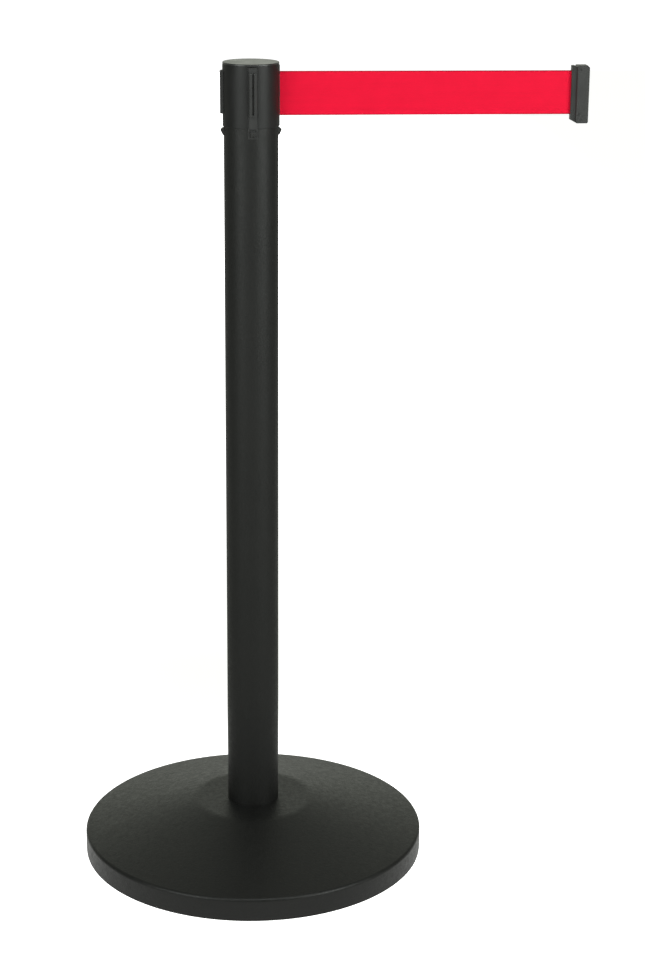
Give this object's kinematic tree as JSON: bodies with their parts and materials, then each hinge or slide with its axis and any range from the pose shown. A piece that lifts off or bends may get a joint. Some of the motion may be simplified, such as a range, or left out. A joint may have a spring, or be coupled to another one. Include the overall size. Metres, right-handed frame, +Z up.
{
  "type": "retractable belt stanchion",
  "caption": "Free-standing crowd-control post: weighted round base, tube, and a head that winds in a red belt with a clip, with receivers for other belts' clips.",
  "frame": {"origin": "the post's axis, on the floor that the base's rubber ring stands on", "axes": "+Z up the post, +X the way the belt leaves the head, -Y the front receiver"},
  "size_m": [0.5731, 0.4, 0.93],
  "materials": {
    "powder_coat": "fine-textured satin black powder coat on spun steel",
    "powder_coat_tube": "fine-textured satin black powder coat on tube",
    "cast_iron": "rough cast, dipped in black primer",
    "floor_rubber": "matte black extruded rubber",
    "zinc_steel": "bright zinc plate",
    "spring_steel": "blued spring steel",
    "black_screw": "black oxide",
    "head_plastic": "fine-grained satin black moulding",
    "cap_plastic": "semi-gloss black moulding",
    "insert_plastic": "satin black moulding",
    "catch_plastic": "satin black acetal",
    "cassette_plastic": "dark grey moulding",
    "spool_plastic": "natural acetal",
    "clip_plastic": "satin dark grey moulding",
    "hook_plastic": "glass-filled nylon",
    "belt_webbing": "bright red woven polyester with a tight selvedge"
  },
  "bodies": {
    "post": {"anchor_bolt": "zinc_steel", "axle_ring": "spring_steel", "base_cover": "powder_coat", "base_weight": "cast_iron", "belt_outlet": "insert_plastic", "cassette_frame": "cassette_plastic", "cassette_lid": "cassette_plastic", "catch_spring_back": "spring_steel", "catch_spring_front": "spring_steel", "catch_spring_left": "spring_steel", "catch_spring_right": "spring_steel", "clamp_washer": "zinc_steel", "cup_screws": "zinc_steel", "floor_ring": "floor_rubber", "foot_plug": "zinc_steel", "frame_pins": "zinc_steel", "head_sleeve": "head_plastic", "lid_screws": "zinc_steel", "post_tube": "powder_coat_tube", "power_spring": "spring_steel", "receiver_back": "insert_plastic", "receiver_front": "insert_plastic", "receiver_left": "insert_plastic", "spool_axle": "zinc_steel", "spring_cup": "cassette_plastic", "spring_washer": "zinc_steel", "top_cap": "cap_plastic"},
    "spool": {"spool": "spool_plastic", "belt_roll": "belt_webbing"},
    "belt_end": {"belt_span": "belt_webbing", "belt_pin": "zinc_steel", "clip_front_half": "clip_plastic", "clip_back_half": "clip_plastic", "clip_screws": "black_screw", "clip_hook": "hook_plastic"},
    "catch_front": {"catch_front": "catch_plastic"},
    "catch_left": {"catch_left": "catch_plastic"},
    "catch_back": {"catch_back": "catch_plastic"},
    "catch_right": {"catch_right": "catch_plastic"}
  },
  "joints": [
    {"name": "belt_pull", "type": "slide", "parent": "post", "child": "belt_end", "axis": [1, 0, 0], "range_m": [-0.322, 1.677], "stiffness_N_per_m": 2, "springref_m": -3, "deforming": ["belt_span"]},
    {"name": "spool_spin", "type": "hinge", "parent": "post", "child": "spool", "pos_m": [0, 0, 0.8957], "axis": [0, 0, 1], "range_deg": [-1260, 6540], "deforming": ["power_spring"]},
    {"name": "catch_front_press", "type": "slide", "parent": "post", "child": "catch_front", "axis": [0, 1, 0], "range_m": [0, 0.002], "stiffness_N_per_m": 350, "springref_m": -0.002, "deforming": ["catch_spring_front"]},
    {"name": "catch_left_press", "type": "slide", "parent": "post", "child": "catch_left", "axis": [1, 0, 0], "range_m": [0, 0.002], "stiffness_N_per_m": 350, "springref_m": -0.002, "deforming": ["catch_spring_left"]},
    {"name": "catch_back_press", "type": "slide", "parent": "post", "child": "catch_back", "axis": [0, -1, 0], "range_m": [0, 0.002], "stiffness_N_per_m": 350, "springref_m": -0.002, "deforming": ["catch_spring_back"]},
    {"name": "catch_right_press", "type": "slide", "parent": "post", "child": "catch_right", "axis": [-1, 0, 0], "range_m": [0, 0.002], "stiffness_N_per_m": 350, "springref_m": -0.002, "deforming": ["catch_spring_right"]}
  ],
  "couplings": [
    {"joint": "spool_spin", "follows": "belt_pull", "rad_per_m": 67.9}
  ]
}
